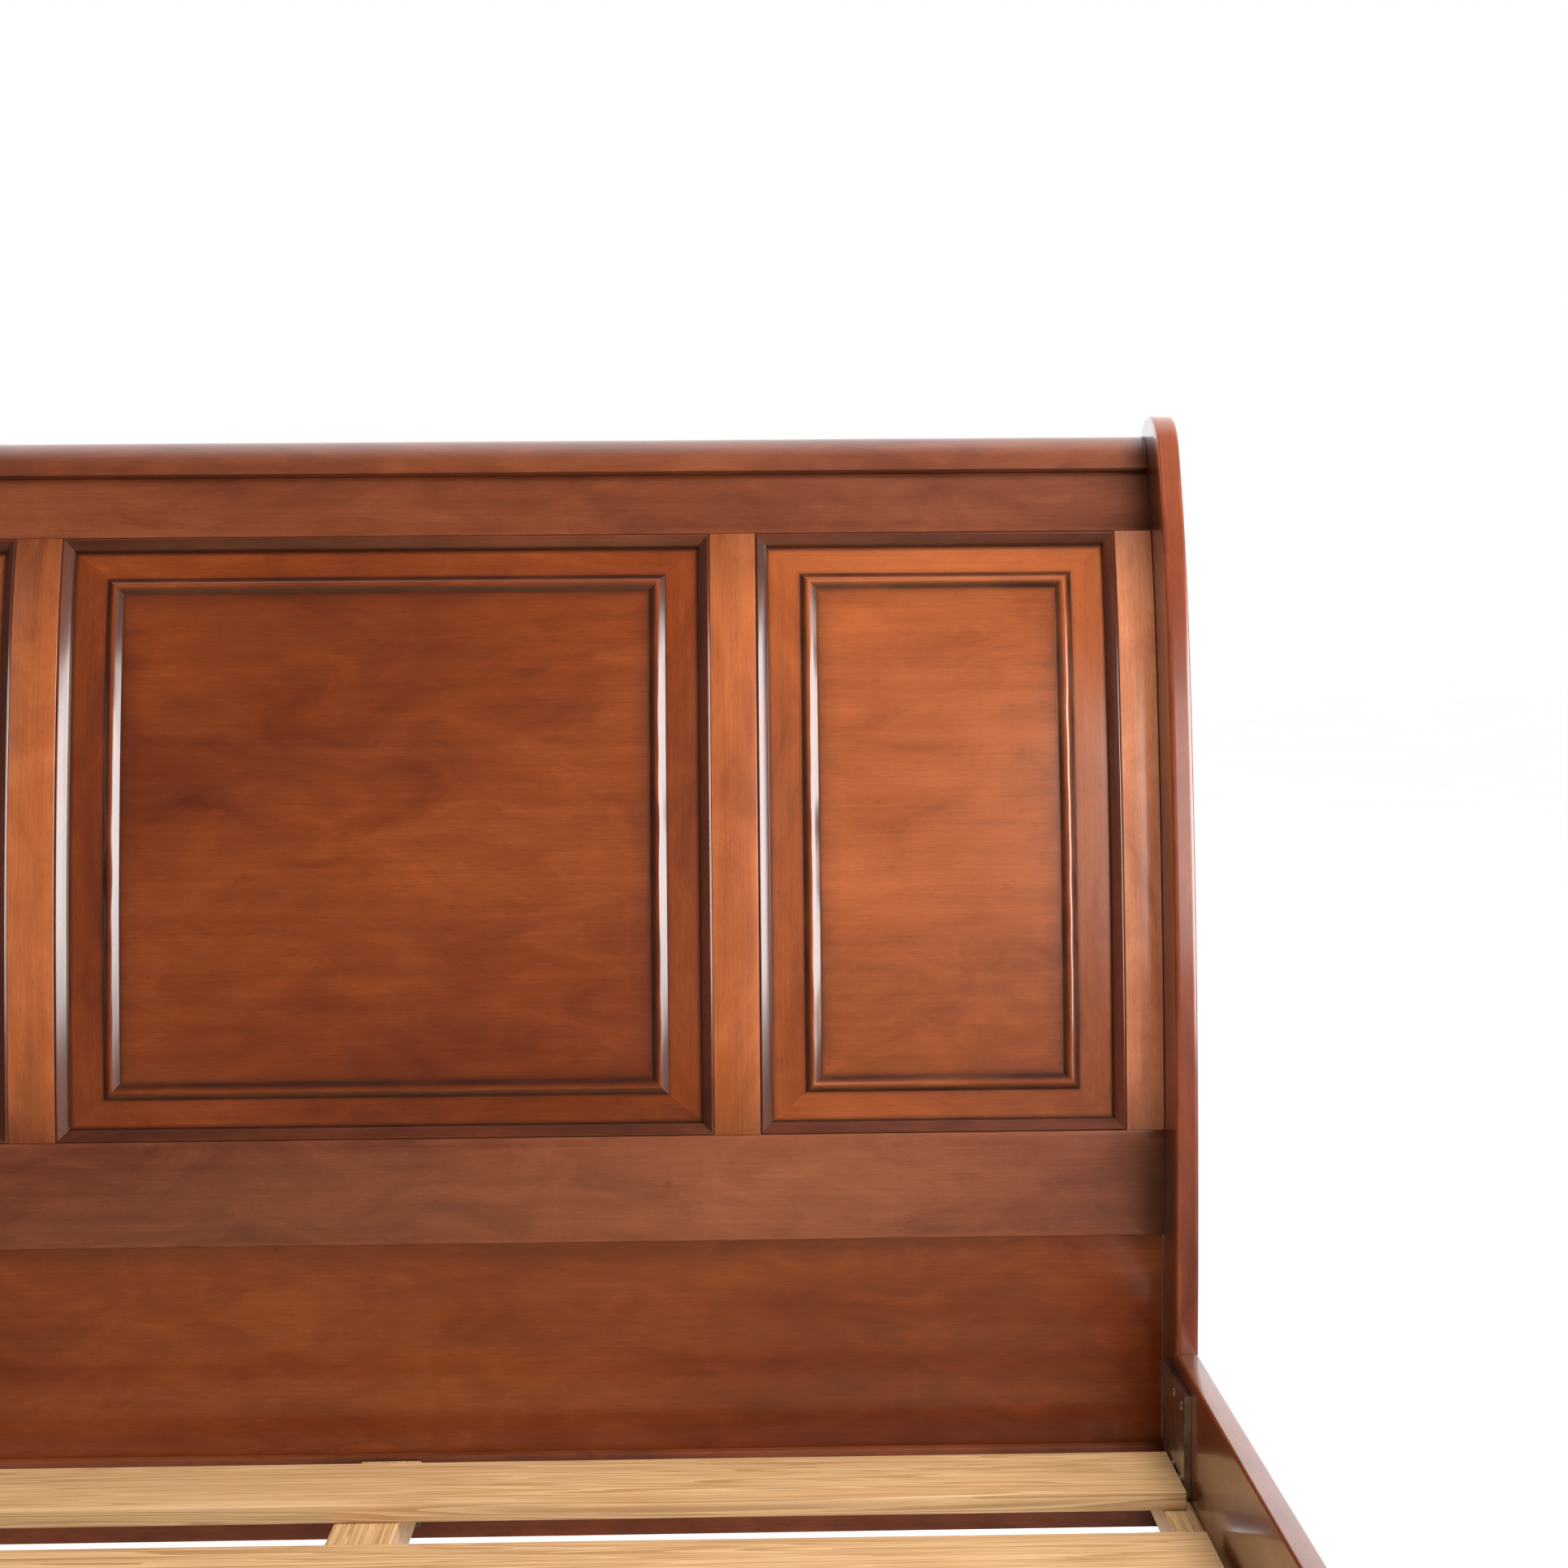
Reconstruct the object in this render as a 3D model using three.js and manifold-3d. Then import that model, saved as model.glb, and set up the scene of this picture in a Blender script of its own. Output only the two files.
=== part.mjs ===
import * as THREE from 'three';
import { mergeVertices } from 'three/addons/utils/BufferGeometryUtils.js';
import Module from 'manifold-3d';

// Sleigh bed, queen size. Millimetres: X is the width, +Y the head end, +Z up.

// ---- driving dimensions ----
const GAP = 0.3; // clearance between neighbouring pieces
const WIDTH = 1600; // over the posts
const POST_T = 22; // thickness of a post board and of a side rail
const FRAME_T = 26; // thickness of the rails and uprights of both boards
const INNER = WIDTH / 2 - POST_T; // inner face of a post
const HEAD_Y = 1030; // face of the headboard at the floor, towards the mattress
const FOOT_Y = -1051; // outer face of the footboard at the floor
const MUNTIN_IN = 327; // inner edge of a muntin
const MUNTIN_OUT = 373.5; // outer edge of a muntin
const STILE_IN = 740; // inner edge of a stile
const TENON = 7.7; // how far a tongue or tenon goes into its groove
const GROOVE = 8; // depth of a groove or mortise
const PANEL_FRONT = -11; // panel face behind the frame face
const PANEL_BACK = -20;
const BORDER_X = 45.5; // frame edge to the bead's outer edge, sideways
const BORDER_S = 40.5; // frame edge to the bead's outer edge, upwards
const BEAD = 16; // width of the raised bead
const BEAD_H = 4.5; // height of the raised bead
const MOULDING_W = 12; // width of the moulding round a panel
const RAIL_LOW = 215; // underside of the side rails and of the bottom rails
const RAIL_HIGH = 415; // top of the side rails
const LEDGER_TOP = 297;
const LEDGER_W = 30;
const SLAT_T = 18;
const SLAT_W = 100;
const SLAT_COUNT = 11;
const SLAT_PITCH = 185;
const PLATE_T = 3; // steel fittings
const BEAM_W = 60;
const BEAM_LOW = 249.6;
const LEG = 44;

// Each board follows a face curve: straight from the floor, then two arcs.
const HEAD = {
  side: 'head',
  y: HEAD_Y,
  lean: 1,
  straight: 430,
  arcs: [[3610, 668, 61], [940, 196, 19.6]],
  front: 60,
  back: 42,
  root: 50,
  scroll: 58,
  rails: { bottom: [215, 300], middle: [517, 623.1], top: [1231.4, 1296.5] },
  roll: { wide: 28, high: 48, centre: -20 },
};
const FOOT = {
  side: 'foot',
  y: FOOT_Y,
  lean: -1,
  straight: 250,
  arcs: [[1500, 330, 47.1], [450, 140, 17.5]],
  front: 52,
  back: 44,
  root: 60,
  scroll: 50,
  rails: { bottom: [215, 315], top: [610, 675] },
  roll: { wide: 26, high: 38, centre: -16 },
};

const WOOD = { colour: '#7a3218', roughness: 0.35, metalness: 0 };
const PLAIN = { colour: '#b98a56', roughness: 0.6, metalness: 0 };
const STEEL = { colour: '#8d8f92', roughness: 0.4, metalness: 1 };

const wasm = await Module();
wasm.setup();
const group = new THREE.Group();
group.name = 'sleigh_bed';

// ---- closed bodies ----

// Turns the faces outwards.
function outward(points, faces) {
  let volume = 0;
  for (const [a, b, c] of faces) {
    const cross = new THREE.Vector3(...points[b]).cross(new THREE.Vector3(...points[c]));
    volume += new THREE.Vector3(...points[a]).dot(cross);
  }
  const turned = volume < 0 ? faces.map(([a, b, c]) => [a, c, b]) : faces;
  const geometry = new THREE.BufferGeometry();
  geometry.setAttribute('position', new THREE.Float32BufferAttribute(points.flat(), 3));
  geometry.setIndex(turned.flat());
  return geometry;
}

// A closed body between two or more rows of the same outline.
function loft(rows, outline) {
  const count = outline.length;
  const points = rows.flat();
  const faces = [];
  for (let r = 0; r + 1 < rows.length; r += 1) {
    for (let i = 0; i < count; i += 1) {
      const a = r * count + i;
      const b = r * count + ((i + 1) % count);
      faces.push([a, b, b + count], [a, b + count, a + count]);
    }
  }
  const flat = outline.map(([u, v]) => new THREE.Vector2(u, v));
  const last = (rows.length - 1) * count;
  // The end faces look opposite ways, and both fit the sides.
  const ccw = !THREE.ShapeUtils.isClockWise(flat);
  for (const [a, b, c] of THREE.ShapeUtils.triangulateShape(flat, [])) {
    const [p, q, r] = ccw === isCcw(flat, a, b, c) ? [a, b, c] : [a, c, b];
    faces.push([p, r, q], [last + p, last + q, last + r]);
  }
  return outward(points, faces);
}

function isCcw(flat, a, b, c) {
  const u = flat[b].clone().sub(flat[a]);
  const v = flat[c].clone().sub(flat[a]);
  return u.cross(v) > 0;
}

// A bar along X with a [y, z] outline.
function bar(outline, x0, x1) {
  const rows = [x0, x1].map((x) => outline.map(([y, z]) => [x, y, z]));
  return loft(rows, outline);
}

function box(x0, x1, y0, y1, z0, z1) {
  return bar([[y0, z0], [y1, z0], [y1, z1], [y0, z1]], x0, x1);
}

function asManifold(geometry) {
  const bare = new THREE.BufferGeometry();
  bare.setAttribute('position', geometry.getAttribute('position'));
  bare.setIndex(geometry.getIndex());
  const merged = mergeVertices(bare, 1e-4);
  const mesh = new wasm.Mesh({
    numProp: 3,
    vertProperties: new Float32Array(merged.getAttribute('position').array),
    triVerts: new Uint32Array(merged.getIndex().array),
  });
  return new wasm.Manifold(mesh);
}

function asGeometry(manifold) {
  const mesh = manifold.getMesh();
  const geometry = new THREE.BufferGeometry();
  geometry.setAttribute('position', new THREE.Float32BufferAttribute(mesh.vertProperties, 3));
  geometry.setIndex(Array.from(mesh.triVerts));
  return geometry;
}

function join(first, ...others) {
  return asGeometry(others.reduce((sum, g) => sum.add(asManifold(g)), asManifold(first)));
}

function cut(first, ...others) {
  return asGeometry(others.reduce((sum, g) => sum.subtract(asManifold(g)), asManifold(first)));
}

function add(name, geometry, finish) {
  const bare = geometry.toNonIndexed();
  bare.computeVertexNormals();
  const material = new THREE.MeshStandardMaterial({
    color: finish.colour,
    roughness: finish.roughness,
    metalness: finish.metalness,
  });
  const mesh = new THREE.Mesh(bare, material);
  mesh.name = name;
  group.add(mesh);
}

// ---- the face curve of a board ----

// The frame of the curve at arc length s: [y, z, lean angle].
function along(board, s) {
  let y = board.y;
  let z = Math.min(s, board.straight);
  let angle = 0;
  let left = s - z;
  for (const [radius, length] of board.arcs) {
    const step = Math.max(0, Math.min(left, length));
    const next = angle + step / radius;
    y += board.lean * radius * (Math.cos(angle) - Math.cos(next));
    z += radius * (Math.sin(next) - Math.sin(angle));
    angle = next;
    left -= step;
  }
  y += board.lean * Math.sin(angle) * Math.max(0, left);
  z += Math.cos(angle) * Math.max(0, left);
  return [y, z, angle];
}

// [y, z] at arc length s and distance d out of the board's show face.
function place(board, s, d) {
  const [y, z, angle] = along(board, s);
  return [y - d * Math.cos(angle), z + board.lean * d * Math.sin(angle)];
}

// Arc lengths where every piece of a board is divided, between two ends.
function stations(board, s0, s1) {
  const found = [];
  let start = board.straight;
  for (const [, length, step] of board.arcs) {
    for (let k = 0; k * step < length - 1; k += 1) {
      found.push(start + k * step);
    }
    start += length;
  }
  found.push(start);
  return found.filter((s) => s > s0 + 1 && s < s1 - 1);
}

// An upright piece with an [x, d] outline.
function upright(board, outline, s0, s1) {
  const levels = [s0, ...stations(board, s0, s1), s1];
  const rows = levels.map((s) => outline.map(([x, d]) => [x, ...place(board, s, d)]));
  return loft(rows, outline);
}

// A [y, z] outline of a bar from an [s, d] outline, following the curve.
function bent(board, outline) {
  const found = [];
  outline.forEach(([s, d], i) => {
    const [t, e] = outline[(i + 1) % outline.length];
    const between = stations(board, Math.min(s, t), Math.max(s, t));
    const ordered = t < s ? between.reverse() : between;
    found.push(place(board, s, d));
    ordered.forEach((q) => found.push(place(board, q, d + ((e - d) * (q - s)) / (t - s))));
  });
  return found;
}

// One rectangular loop of a panel or moulding, inset by ux and us, at depth d.
// A level past the inset's corner falls on the corner.
function loop(board, area, levels, [ux, us, d]) {
  const [x0, x1, s0, s1] = area;
  const at = (x, s) => [x, ...place(board, Math.min(Math.max(s, s0 + us), s1 - us), d)];
  return [
    at(x0 + ux, s0 + us),
    at(x1 - ux, s0 + us),
    ...levels.map((s) => at(x1 - ux, s)),
    at(x1 - ux, s1 - us),
    at(x0 + ux, s1 - us),
    ...[...levels].reverse().map((s) => at(x0 + ux, s)),
  ];
}

// A body of mitred loops: closed on itself, or a board with flat faces back and front.
function looped(board, area, profile, closed) {
  const levels = stations(board, area[2], area[3]);
  const rows = profile.map((p) => loop(board, area, levels, p));
  const count = rows[0].length;
  const n = levels.length;
  const faces = [];
  const strips = closed ? rows.length : rows.length - 1;
  for (let r = 0; r < strips; r += 1) {
    const up = ((r + 1) % rows.length) * count;
    for (let i = 0; i < count; i += 1) {
      const j = (i + 1) % count;
      faces.push([r * count + i, r * count + j, up + j], [r * count + i, up + j, up + i]);
    }
  }
  if (!closed) {
    const left = [0, ...levels.map((_, k) => 2 * n + 3 - k), n + 3];
    const right = [1, ...levels.map((_, k) => 2 + k), n + 2];
    const last = (rows.length - 1) * count;
    for (let k = 0; k + 1 < left.length; k += 1) {
      const [a, b, c, d] = [left[k], right[k], right[k + 1], left[k + 1]];
      faces.push([a, c, b], [a, d, c]);
      faces.push([last + a, last + b, last + c], [last + a, last + c, last + d]);
    }
  }
  const points = rows.flat();
  const apart = (a, b) => points[a].some((value, i) => value !== points[b][i]);
  return outward(points, faces.filter(([a, b, c]) => apart(a, b) && apart(b, c) && apart(c, a)));
}

// ---- pieces of a board ----

const SIDES = [['left', -1], ['right', 1]];
const TONGUE = [PANEL_BACK, PANEL_FRONT]; // a panel's edge and every tenon, in depth
const SLOT = [PANEL_BACK - GAP, PANEL_FRONT + GAP];

// The outline of a post: foot, show edge, scroll and back edge.
const FOOT_TAPER = [[0, 26], [60, 22], [120, 10], [RAIL_LOW - 15, 0]]; // height, inset of the edge
const ROOT_RISE = 350; // height over which the back edge draws in
function postOutline(board) {
  const end = board.straight + board.arcs[0][1] + board.arcs[1][1];
  const points = FOOT_TAPER.map(([s, inset]) => place(board, s, board.front - inset));
  stations(board, RAIL_LOW, end).forEach((s) => points.push(place(board, s, board.front)));
  const [y, z, angle] = along(board, end);
  const middle = board.front - board.scroll;
  for (let k = 0; k <= 18; k += 1) {
    const turn = (k / 18) * THREE.MathUtils.degToRad(216);
    const up = board.scroll * Math.sin(turn);
    const out = middle + board.scroll * Math.cos(turn);
    points.push([
      y + board.lean * up * Math.sin(angle) - out * Math.cos(angle),
      z + up * Math.cos(angle) + board.lean * out * Math.sin(angle),
    ]);
  }
  const backs = stations(board, RAIL_LOW, end - board.scroll).reverse();
  const spread = board.root - board.back;
  const depth = (s) => board.back + spread * Math.max(0, 1 - (s - RAIL_LOW) / ROOT_RISE);
  backs.forEach((s) => points.push(place(board, s, -depth(s))));
  [...FOOT_TAPER].reverse().forEach(([s, inset]) => points.push(place(board, s, inset * 0.6 - board.root)));
  return points;
}

// The tenon of each rail, as an [s, d] outline grown by g.
function tenon(s0, s1, g) {
  const [back, front] = TONGUE;
  return [
    [s0 + 10 - g, back - g],
    [s1 - 10 + g, back - g],
    [s1 - 10 + g, front + g],
    [s0 + 10 - g, front + g],
  ];
}

function rollOutline(board) {
  const { wide, high, centre } = board.roll;
  const base = board.rails.top[1] + GAP;
  const [y, z, angle] = along(board, base);
  const found = [];
  for (let k = 0; k <= 14; k += 1) {
    const turn = (Math.PI * k) / 14;
    const up = high * Math.sin(turn);
    const out = centre + wide * Math.cos(turn);
    found.push([
      y + board.lean * up * Math.sin(angle) - out * Math.cos(angle),
      z + up * Math.cos(angle) + board.lean * out * Math.sin(angle),
    ]);
  }
  return found;
}

function rollTenon(board, g) {
  const base = board.rails.top[1];
  return bent(board, [
    [base + 8 - g, board.roll.centre - 10 - g],
    [base + board.roll.high * 0.6 + g, board.roll.centre - 10 - g],
    [base + board.roll.high * 0.6 + g, board.roll.centre + 10 + g],
    [base + 8 - g, board.roll.centre + 10 + g],
  ]);
}

// The steel fittings where a side rail hooks into a post.
const HOOK_Z = [322, 372]; // middle of each hook
const HOOK_H = 18;
const HOOK_IN = 18; // from the post's edge to the hook's middle
const FITTING_LOW = 300;
const FITTING_HIGH = 400;

function buildPosts(board, edge, inward) {
  const { rails, side } = board;
  for (const [name, sign] of SIDES) {
    const inner = sign * INNER;
    const body = bar(postOutline(board), inner, (sign * WIDTH) / 2);
    const [from, to] = [inner - sign * 5, inner + sign * GROOVE];
    const mortises = Object.values(rails).map(([s0, s1]) => bar(bent(board, tenon(s0, s1, GAP)), from, to));
    mortises.push(bar(rollTenon(board, GAP), from, to));
    const y = edge - inward * HOOK_IN;
    HOOK_Z.forEach((z) => {
      mortises.push(box(from, inner + sign * 9, y - 4.5, y + 4.5, z - HOOK_H / 2 - 8, z + HOOK_H / 2 + 3));
    });
    add(`${side}_post_${name}`, cut(body, ...mortises), WOOD);
  }
}

// A rail between the posts, grooved on the edges that take panels.
function buildRail(board, name, [s0, s1], grooveLow, grooveHigh) {
  const [back, front] = SLOT;
  const low = grooveLow ? [[s0, front], [s0 + GROOVE, front], [s0 + GROOVE, back], [s0, back]] : [];
  const high = grooveHigh ? [[s1, back], [s1 - GROOVE, back], [s1 - GROOVE, front], [s1, front]] : [];
  const outline = [[s0, 0], ...low, [s0, -FRAME_T], [s1, -FRAME_T], ...high, [s1, 0]];
  const reach = INNER - GAP;
  const body = bar(bent(board, outline), -reach, reach);
  const ends = SIDES.map(([, sign]) => {
    return bar(bent(board, tenon(s0, s1, 0)), sign * (reach - 20), sign * (INNER + TENON));
  });
  add(`${board.side}_${name}`, join(body, ...ends), WOOD);
}

// A stile or muntin: grooved where a panel meets it, with a tongue at both ends.
function buildUpright(board, name, x0, x1, low, high, grooved) {
  const [back, front] = SLOT;
  const into = (x, dir) => [[x, front], [x + dir * GROOVE, front], [x + dir * GROOVE, back], [x, back]];
  const left = grooved.includes(x0) ? into(x0, 1) : [];
  const right = grooved.includes(x1) ? into(x1, -1).reverse() : [];
  const outline = [[x0, 0], ...left, [x0, -FRAME_T], [x1, -FRAME_T], ...right, [x1, 0]];
  const body = upright(board, outline, low + GAP, high - GAP);
  const [web0, web1] = [x0 + 10, x1 - 10];
  const middle = [[web0, TONGUE[0]], [web1, TONGUE[0]], [web1, TONGUE[1]], [web0, TONGUE[1]]];
  const tongue = upright(board, middle, low - TENON, high + TENON);
  add(`${board.side}_${name}`, join(body, tongue), WOOD);
}

// A bent panel in its grooves, with the raised bead worked round its face.
function buildPanel(board, name, x0, x1, low, high) {
  const area = [x0 - TENON, x1 + TENON, low - TENON, high + TENON];
  const bx = BORDER_X + TENON;
  const bs = BORDER_S + TENON;
  const bead = [[0, 0], [0.12, 0.62], [0.34, 1], [0.66, 1], [0.88, 0.62], [1, 0]];
  const raised = bead.map(([u, h]) => [bx + u * BEAD, bs + u * BEAD, PANEL_FRONT + h * BEAD_H]);
  const border = [0, 0.25, 0.6].map((part) => [part * bx, part * bs, PANEL_FRONT]);
  const profile = [[0, 0, PANEL_BACK], ...border, ...raised];
  add(`${board.side}_${name}`, looped(board, area, profile, false), WOOD);
}

// The mitred moulding that covers the step from the frame down to a panel.
function buildMoulding(board, name, x0, x1, low, high) {
  const foot = PANEL_FRONT + GAP;
  const nose = [[0, foot], [0, 0.6], [2.2, 1.2], [4.2, -0.6]];
  const slope = [[6, -4.6], [8.6, -7.2], [MOULDING_W, -8.2], [MOULDING_W, foot]];
  const profile = [...nose, ...slope].map(([u, d]) => [u, u, d]);
  const area = [x0 + GAP, x1 - GAP, low + GAP, high - GAP];
  add(`${board.side}_${name}`, looped(board, area, profile, true), WOOD);
}

function buildBoard(board, edge, inward) {
  const { rails, side } = board;
  const low = rails.middle ? rails.middle[1] : rails.bottom[1];
  const high = rails.top[0];
  buildPosts(board, edge, inward);
  const roll = bar(rollOutline(board), GAP - INNER, INNER - GAP);
  const pegs = SIDES.map(([, sign]) => bar(rollTenon(board, 0), sign * (INNER - 20), sign * (INNER + TENON)));
  add(`${side}_crest_roll`, join(roll, ...pegs), WOOD);
  buildRail(board, 'top_rail', rails.top, true, false);
  if (rails.middle) {
    buildRail(board, 'middle_rail', rails.middle, true, true);
    buildRail(board, 'bottom_rail', rails.bottom, false, true);
    const area = [GAP - INNER, INNER - GAP, rails.bottom[1] - TENON, rails.middle[0] + TENON];
    const flat = [[0, 0, PANEL_BACK], [0, 0, PANEL_FRONT]];
    add(`${side}_lower_panel`, looped(board, area, flat, false), WOOD);
  } else {
    buildRail(board, 'bottom_rail', rails.bottom, false, true);
  }
  const outer = INNER - GAP;
  buildUpright(board, 'stile_left', -outer, -STILE_IN, low, high, [-STILE_IN]);
  buildUpright(board, 'stile_right', STILE_IN, outer, low, high, [STILE_IN]);
  buildUpright(board, 'muntin_left', -MUNTIN_OUT, -MUNTIN_IN, low, high, [-MUNTIN_OUT, -MUNTIN_IN]);
  buildUpright(board, 'muntin_right', MUNTIN_IN, MUNTIN_OUT, low, high, [MUNTIN_IN, MUNTIN_OUT]);
  const openings = [
    ['left', -STILE_IN, -MUNTIN_OUT],
    ['centre', -MUNTIN_IN, MUNTIN_IN],
    ['right', MUNTIN_OUT, STILE_IN],
  ];
  for (const [name, x0, x1] of openings) {
    buildPanel(board, `panel_${name}`, x0, x1, low, high);
    buildMoulding(board, `moulding_${name}`, x0, x1, low, high);
  }
}

// ---- the two boards ----
const HEAD_EDGE = HEAD_Y - HEAD.front; // edge of the head posts that the rails meet
const FOOT_EDGE = FOOT_Y + FOOT.root; // edge of the foot posts that the rails meet
buildBoard(HEAD, HEAD_EDGE, -1);
buildBoard(FOOT, FOOT_EDGE, 1);

// ---- side rails, ledgers and fittings ----
const RAIL_FROM = FOOT_EDGE + GAP;
const RAIL_TO = HEAD_EDGE - GAP;
const HOOK_FACE = INNER - GAP - PLATE_T - GAP; // where the hook plate passes the slot plate
for (const [name, sign] of SIDES) {
  const outer = (sign * WIDTH) / 2;
  add(`side_rail_${name}`, box(sign * INNER, outer, RAIL_FROM, RAIL_TO, RAIL_LOW, RAIL_HIGH), WOOD);
  const wall = sign * (INNER - GAP);
  const strip = box(wall - sign * LEDGER_W, wall, RAIL_FROM + 4, RAIL_TO - 4, LEDGER_TOP - 27, LEDGER_TOP);
  add(`slat_ledger_${name}`, strip, PLAIN);
  for (const [end, edge, out] of [['head', HEAD_EDGE, 1], ['foot', FOOT_EDGE, -1]]) {
    const hookY = edge + out * HOOK_IN;
    const skin = wall - sign * PLATE_T;
    const plate = box(skin, wall, edge + out * 3, edge + out * 33, FITTING_LOW, FITTING_HIGH);
    const slots = HOOK_Z.map((z) => {
      const [low, high] = [z - HOOK_H / 2 - 7, z + HOOK_H / 2 + 2];
      return box(wall - sign * 9, wall + sign * 5, hookY - 2.6, hookY + 2.6, low, high);
    });
    add(`slot_plate_${end}_${name}`, cut(plate, ...slots), STEEL);
    const face = sign * HOOK_FACE;
    const back = face - sign * PLATE_T;
    const pieces = [box(back, wall, edge - out * 2, edge - out * 72, FITTING_LOW, FITTING_HIGH)];
    HOOK_Z.forEach((z) => {
      const [low, high] = [z - HOOK_H / 2, z + HOOK_H / 2];
      pieces.push(box(face - sign, wall + sign * 7, hookY - 2, hookY + 2, low, high));
      pieces.push(box(wall + sign * 2.5, wall + sign * 7, hookY - 2, hookY + 2, low - 6, low + 6));
    });
    const web = box(back, face, edge - out * 20, hookY + out * 10, FITTING_LOW, FITTING_HIGH);
    add(`hook_plate_${end}_${name}`, join(web, ...pieces), STEEL);
  }
}

// ---- centre beam, cradles and legs ----
const HEAD_WALL = HEAD_Y - GAP;
const FOOT_WALL = FOOT_Y + FRAME_T + GAP;
const BEAM_HIGH = LEDGER_TOP;
const REACH = BEAM_W / 2;
const BEAM_FROM = FOOT_WALL + PLATE_T + GAP;
const BEAM_TO = HEAD_WALL - PLATE_T - GAP;
add('centre_beam', box(-REACH, REACH, BEAM_FROM, BEAM_TO, BEAM_LOW, BEAM_HIGH), PLAIN);
for (const [end, wall, out] of [['head', HEAD_WALL, -1], ['foot', FOOT_WALL, 1]]) {
  const side = REACH + GAP + PLATE_T;
  const trough = box(-side, side, wall, wall + out * 45, BEAM_LOW - GAP - PLATE_T, BEAM_HIGH - 8);
  const inside = side - PLATE_T;
  const space = box(-inside, inside, wall + out * PLATE_T, wall + out * 60, BEAM_LOW - GAP, BEAM_HIGH + 20);
  const ears = box(-side - 18, side + 18, wall, wall + out * PLATE_T, BEAM_LOW - 10, BEAM_HIGH - 8);
  add(`cradle_${end}`, join(cut(trough, space), ears), STEEL);
}
for (const [end, y] of [['head', 360], ['foot', -360]]) {
  const half = LEG / 2;
  const square = (r) => [[-r, y - r], [r, y - r], [r, y + r], [-r, y + r]];
  const rows = [[0, half - 7], [12, half - 4], [60, half], [BEAM_LOW - GAP, half]];
  const leg = loft(rows.map(([z, r]) => square(r).map(([px, py]) => [px, py, z])), square(half));
  add(`centre_leg_${end}`, leg, PLAIN);
}

// ---- slats ----
const DECK = LEDGER_TOP + GAP;
const DECK_MIDDLE = (HEAD_WALL + FOOT_WALL) / 2;
const SLAT_REACH = HOOK_FACE - PLATE_T - 1.4;
for (let k = 0; k < SLAT_COUNT; k += 1) {
  const y = (k - (SLAT_COUNT - 1) / 2) * SLAT_PITCH + DECK_MIDDLE;
  const slat = box(-SLAT_REACH, SLAT_REACH, y - SLAT_W / 2, y + SLAT_W / 2, DECK, DECK + SLAT_T);
  add(`slat_${String(k + 1).padStart(2, '0')}`, slat, PLAIN);
}

// The bed stands on the floor, centred along its length.
const whole = new THREE.Box3().setFromObject(group);
const middleY = (whole.min.y + whole.max.y) / 2;
group.children.forEach((mesh) => mesh.geometry.translate(0, -middleY, 0));

export default group;
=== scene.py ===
import math
import random

import bmesh
import bpy
from mathutils import Matrix, Vector


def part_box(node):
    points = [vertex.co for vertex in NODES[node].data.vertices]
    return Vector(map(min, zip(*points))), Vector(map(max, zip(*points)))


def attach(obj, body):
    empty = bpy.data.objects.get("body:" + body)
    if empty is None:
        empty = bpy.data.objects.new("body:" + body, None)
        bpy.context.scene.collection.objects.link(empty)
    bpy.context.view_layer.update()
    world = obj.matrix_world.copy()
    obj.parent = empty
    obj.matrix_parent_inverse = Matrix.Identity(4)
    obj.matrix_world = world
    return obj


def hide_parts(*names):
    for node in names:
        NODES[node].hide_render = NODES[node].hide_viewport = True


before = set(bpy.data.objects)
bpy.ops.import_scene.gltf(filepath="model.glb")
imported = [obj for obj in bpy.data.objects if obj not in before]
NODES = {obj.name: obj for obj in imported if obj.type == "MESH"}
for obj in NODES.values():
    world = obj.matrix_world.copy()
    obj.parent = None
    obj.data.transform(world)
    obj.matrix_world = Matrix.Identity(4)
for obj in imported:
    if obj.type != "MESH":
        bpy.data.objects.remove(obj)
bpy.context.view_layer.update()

# ---- driving dimensions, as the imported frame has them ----
# x runs across the bed, s along a board's curved face from the floor up, and d out of its show face.
MM = 0.001
GAP = 0.3 * MM  # clearance between two pieces
INNER = 778 * MM  # x of a post's inner face
OUTER = 800 * MM  # x of a post's outer face
FRAME_T = 26 * MM  # thickness of rails, stiles and muntins
MUNTIN_IN = 327 * MM
MUNTIN_OUT = 373.5 * MM
STILE_IN = 740 * MM
PANEL_FRONT = -11 * MM
PANEL_BACK = -20 * MM
TONGUE = 7.7 * MM  # how far a panel reaches into its groove
GROOVE = 8 * MM  # how deep that groove is
BORDER_X = 45.5 * MM  # flat border between a panel's opening and its bead
BORDER_S = 40.5 * MM
BEAD = 16 * MM
BEAD_H = 4.5 * MM
MOULDING_W = 12 * MM
RAIL_LOW = 215 * MM  # lower edge of the bottom rails
EASED = 1.4 * MM  # rounding of the frame's edges

# The face plane of each board: the show faces of both look towards -y, away from the headboard's wall.
HEAD_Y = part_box("head_bottom_rail")[0].y
FOOT_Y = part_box("foot_post_right")[1].y - 60 * MM

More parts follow.
